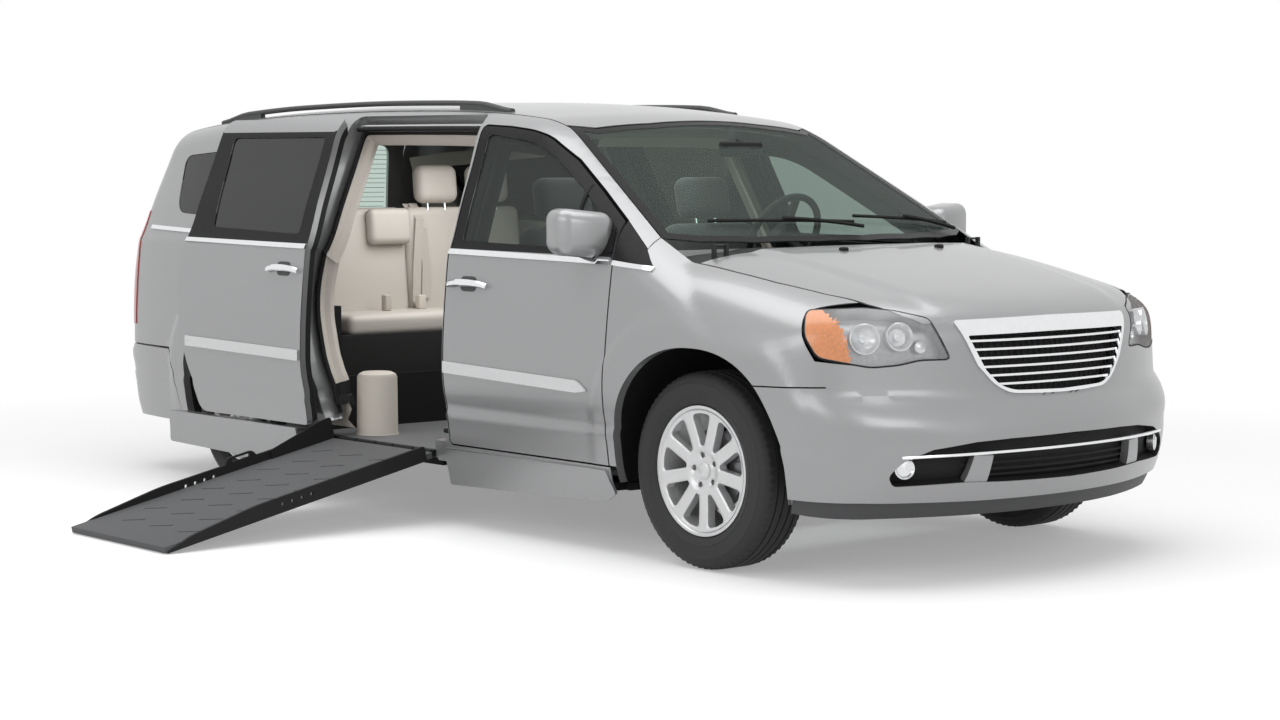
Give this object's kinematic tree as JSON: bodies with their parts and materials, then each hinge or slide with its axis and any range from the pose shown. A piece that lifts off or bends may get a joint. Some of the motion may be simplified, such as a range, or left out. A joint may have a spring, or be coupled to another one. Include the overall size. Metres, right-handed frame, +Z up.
{
  "type": "wheelchair accessible minivan",
  "caption": "Minivan with a lowered floor, a sliding side door standing open and a fold-out wheelchair ramp let down to the ground at its side.",
  "frame": {"origin": "on the ground at the middle of the bounding box's footprint, with the ramp let down", "axes": "+X forward along the van, +Y to its left, +Z up"},
  "size_m": [5.151, 3.3127, 1.7619],
  "materials": {
    "silver_paint": "metallic clear coat",
    "glass_tint": "dark tint",
    "glass_clear": "clear",
    "black_plastic": "matt",
    "grey_plastic": "matt",
    "chrome_trim": "polished",
    "lamp_lens": "clear",
    "tail_lens": "red",
    "alloy": "painted silver",
    "tyre_rubber": "matt",
    "seat_cloth": "woven",
    "seat_leather": "grained",
    "beige_trim": "matt",
    "carpet": "carpet",
    "steel_dark": "dark",
    "iron": "cast",
    "exhaust_steel": "dull",
    "ramp_deck": "non-slip coating"
  },
  "bodies": {
    "body": {"roof": "silver_paint", "body_side_left": "silver_paint", "body_side_right": "silver_paint", "wings": "silver_paint", "front_bumper": "silver_paint", "rear_bumper": "silver_paint", "floor": "carpet", "cowl": "black_plastic", "windscreen": "glass_clear", "quarter_glass": "glass_tint", "sliding_door_right": "silver_paint", "sliding_door_left": "silver_paint", "sliding_door_glass": "glass_tint", "side_skirts": "silver_paint", "grille": "chrome_trim", "headlamps": "lamp_lens", "tail_lamps": "tail_lens", "roof_rails": "grey_plastic", "dashboard": "grey_plastic", "front_seats": "seat_cloth", "rear_seat": "seat_leather", "interior_trim": "beige_trim", "engine": "iron", "front_frame": "steel_dark", "rear_axle": "steel_dark", "exhaust": "exhaust_steel", "fuel_tank": "black_plastic", "ramp_sill": "steel_dark", "door_hardware": "steel_dark"},
    "bonnet": {"bonnet": "silver_paint"},
    "tailgate": {"tailgate": "silver_paint", "tailgate_glass": "glass_tint"},
    "ramp": {"ramp": "ramp_deck"},
    "steering_wheel": {"steering_wheel": "black_plastic"},
    "front_door_left": {"front_door_left": "silver_paint", "front_door_glass_left": "glass_clear", "mirror_left": "silver_paint"},
    "knuckle_left": {"knuckle_front_left": "iron"},
    "wheel_front_left": {"rim_front_left": "alloy", "tyre_front_left": "tyre_rubber"},
    "wheel_rear_left": {"rim_rear_left": "alloy", "tyre_rear_left": "tyre_rubber"},
    "front_door_right": {"front_door_right": "silver_paint", "front_door_glass_right": "glass_clear", "mirror_right": "silver_paint"},
    "knuckle_right": {"knuckle_front_right": "iron"},
    "wheel_front_right": {"rim_front_right": "alloy", "tyre_front_right": "tyre_rubber"},
    "wheel_rear_right": {"rim_rear_right": "alloy", "tyre_rear_right": "tyre_rubber"}
  },
  "joints": [
    {"name": "steer_left", "type": "hinge", "parent": "body", "child": "knuckle_left", "pos_m": [1.6255, 1.19, 0.3], "axis": [0, 0, 1], "range_deg": [-32, 32]},
    {"name": "wheel_front_left_spin", "type": "hinge", "parent": "knuckle_left", "child": "wheel_front_left", "pos_m": [1.6255, 1.3605, 0.358], "axis": [0, 1, 0], "continuous": true},
    {"name": "wheel_rear_left_spin", "type": "hinge", "parent": "body", "child": "wheel_rear_left", "pos_m": [-1.4525, 1.3605, 0.358], "axis": [0, 1, 0], "continuous": true},
    {"name": "front_door_left_hinge", "type": "hinge", "parent": "body", "child": "front_door_left", "pos_m": [1.1535, 1.521, 0.67], "axis": [0, 0, -1], "range_deg": [0, 65]},
    {"name": "steer_right", "type": "hinge", "parent": "body", "child": "knuckle_right", "pos_m": [1.6255, -0.12, 0.3], "axis": [0, 0, 1], "range_deg": [-32, 32]},
    {"name": "wheel_front_right_spin", "type": "hinge", "parent": "knuckle_right", "child": "wheel_front_right", "pos_m": [1.6255, -0.2905, 0.358], "axis": [0, 1, 0], "continuous": true},
    {"name": "wheel_rear_right_spin", "type": "hinge", "parent": "body", "child": "wheel_rear_right", "pos_m": [-1.4525, -0.2905, 0.358], "axis": [0, 1, 0], "continuous": true},
    {"name": "front_door_right_hinge", "type": "hinge", "parent": "body", "child": "front_door_right", "pos_m": [1.1535, -0.451, 0.67], "axis": [0, 0, 1], "range_deg": [0, 65]},
    {"name": "bonnet_hinge", "type": "hinge", "parent": "body", "child": "bonnet", "pos_m": [1.4755, 0.535, 1.158], "axis": [0, -1, 0], "range_deg": [0, 50]},
    {"name": "tailgate_hinge", "type": "hinge", "parent": "body", "child": "tailgate", "pos_m": [-2.3505, 0.535, 1.634], "axis": [0, 1, 0], "range_deg": [0, 80]},
    {"name": "ramp_hinge", "type": "hinge", "parent": "body", "child": "ramp", "pos_m": [-0.3145, -0.395, 0.285], "axis": [-1, 0, 0], "range_deg": [0, 110]},
    {"name": "steering_wheel_turn", "type": "hinge", "parent": "body", "child": "steering_wheel", "pos_m": [0.7035, 0.915, 1.153], "axis": [-0.9063, 0, 0.4226], "range_deg": [-384, 384]}
  ],
  "couplings": [
    {"joint": "steer_right", "follows": "steer_left", "ratio": 1},
    {"joint": "steering_wheel_turn", "follows": "steer_left", "ratio": 12}
  ]
}
